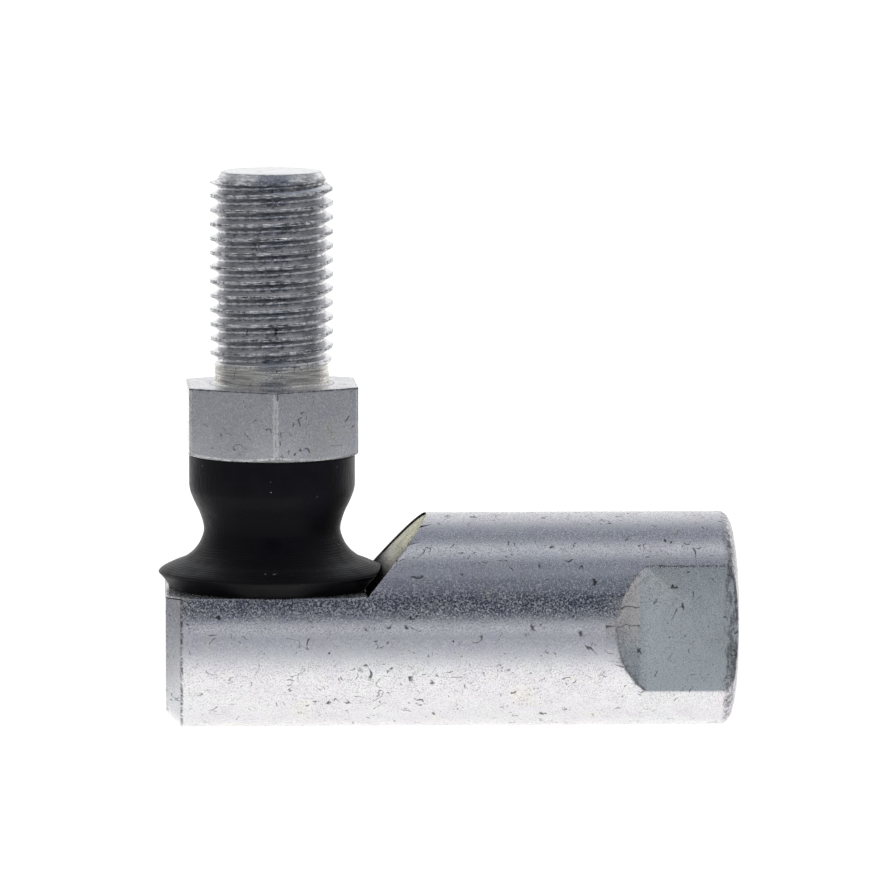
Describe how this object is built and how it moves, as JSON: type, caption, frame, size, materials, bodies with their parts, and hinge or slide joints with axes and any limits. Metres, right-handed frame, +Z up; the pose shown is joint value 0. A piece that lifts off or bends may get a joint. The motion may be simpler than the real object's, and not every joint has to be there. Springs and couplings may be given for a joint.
{
  "type": "angle ball joint rod end",
  "caption": "Ball joint rod end: round steel bar housing with a female thread and wrench flats, and a swivelling threaded ball stud with a hexagon and a rubber dust boot.",
  "frame": {"origin": "centre of the rod thread's mouth, on the right end face of the housing bar", "axes": "+X out of the rod thread along the bar, +Z up along the ball stud's shank at rest"},
  "size_m": [0.0514, 0.0202, 0.0496],
  "materials": {
    "plated_housing": "bright zinc plating on turned and milled steel, with a faint bluish and yellowish bloom",
    "plated_stud": "bright zinc plating on cold-formed steel with a rolled thread",
    "black_rubber": "matt moulded rubber",
    "spring_steel": "phosphated spring steel",
    "seat_plastic": "moulded acetal"
  },
  "bodies": {
    "housing": {"housing": "plated_housing", "lower_race": "seat_plastic", "upper_race": "seat_plastic", "wave_spring": "spring_steel", "snap_ring": "spring_steel"},
    "boot": {"dust_boot": "black_rubber"},
    "boot_neck": {"boot_neck_ring": "spring_steel"},
    "stud": {"ball_stud": "plated_stud"}
  },
  "joints": [
    {"name": "stud_swing", "type": "hinge", "parent": "housing", "child": "boot", "pos_m": [-0.04127, 0, 0], "axis": [0, 1, 0], "range_deg": [-15, 15], "deforming": ["dust_boot"]},
    {"name": "stud_rock", "type": "hinge", "parent": "boot", "child": "boot_neck", "pos_m": [-0.04127, 0, 0], "axis": [1, 0, 0], "range_deg": [-15, 15], "deforming": ["dust_boot"]},
    {"name": "stud_spin", "type": "hinge", "parent": "boot_neck", "child": "stud", "pos_m": [-0.04127, 0, 0], "axis": [0, 0, 1], "continuous": true}
  ]
}
